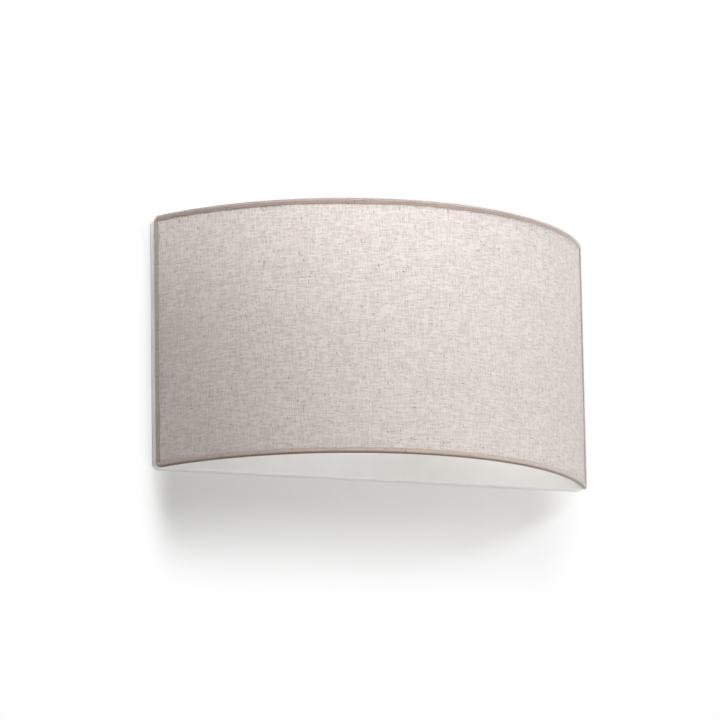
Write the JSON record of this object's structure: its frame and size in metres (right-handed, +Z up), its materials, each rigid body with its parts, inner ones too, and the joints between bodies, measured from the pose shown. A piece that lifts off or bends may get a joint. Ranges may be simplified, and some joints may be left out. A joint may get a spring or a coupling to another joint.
{
  "type": "wall light",
  "caption": "Half-round wall light: an open-topped linen-textured fabric shade on a white folded wall plate, with a lampholder and lamp lying across inside it.",
  "frame": {"origin": "middle of the back of the wall plate, midway between the wall screws", "axes": "+X right along the plate, +Y into the wall, +Z up; the shade is on -Y"},
  "size_m": [0.35, 0.1134, 0.195],
  "materials": {
    "white_paint": "satin powder coat",
    "white_rubber": "matte",
    "zinc": "zinc plated",
    "nickel": "nickel plated",
    "tinned": "tin plated",
    "brass": "satin",
    "holder_plastic": "matte",
    "ceramic": "glazed porcelain",
    "nylon": "matte",
    "brown_pvc": "satin",
    "blue_pvc": "satin",
    "green_yellow_pvc": "satin",
    "black_glass": "gloss",
    "lamp_plastic": "satin",
    "opal": "frosted",
    "linen": "linen weave",
    "hem_linen": "linen weave, rolled",
    "white_lining": "satin film"
  },
  "bodies": {
    "wall_unit": {"wall_plate": "white_paint", "cable_grommet": "white_rubber", "press_nuts": "zinc", "holder_bracket": "white_paint", "bracket_screws": "zinc", "bracket_nuts": "zinc", "threaded_nipple": "zinc", "nipple_nut": "zinc", "holder_cap": "holder_plastic", "holder_insert": "ceramic", "holder_terminal_screws": "brass", "holder_skirt": "holder_plastic", "holder_thread_shell": "brass", "holder_centre_contact": "brass", "terminal_block": "nylon", "terminal_clamp_screws": "zinc", "terminal_fixing_screws": "zinc", "earth_eyelet": "tinned", "earth_screw": "brass", "live_lead": "brown_pvc", "neutral_lead": "blue_pvc", "earth_lead": "green_yellow_pvc"},
    "lamp": {"lamp_cap": "nickel", "lamp_insulator": "black_glass", "lamp_button": "tinned", "lamp_housing": "lamp_plastic", "lamp_globe": "opal"},
    "shade": {"shade_textile": "linen", "shade_lining": "white_lining", "top_hem": "hem_linen", "bottom_hem": "hem_linen", "left_hem": "hem_linen", "right_hem": "hem_linen", "top_wire": "white_paint", "bottom_wire": "white_paint", "left_upright": "white_paint", "right_upright": "white_paint", "left_lug": "white_paint", "right_lug": "white_paint"},
    "left_screw": {"left_thumb_screw": "nickel"},
    "right_screw": {"right_thumb_screw": "nickel"}
  },
  "joints": [
    {"name": "shade_lift_off", "type": "slide", "parent": "wall_unit", "child": "shade", "axis": [0, -1, 0], "range_m": [0, 0.14]},
    {"name": "left_screw_turn", "type": "hinge", "parent": "shade", "child": "left_screw", "pos_m": [-0.152, -0.0135, 0], "axis": [0, -1, 0], "continuous": true},
    {"name": "right_screw_turn", "type": "hinge", "parent": "shade", "child": "right_screw", "pos_m": [0.152, -0.0135, 0], "axis": [0, -1, 0], "continuous": true},
    {"name": "lamp_unscrew", "type": "slide", "parent": "wall_unit", "child": "lamp", "axis": [1, 0, 0], "range_m": [0, 0.03]}
  ]
}
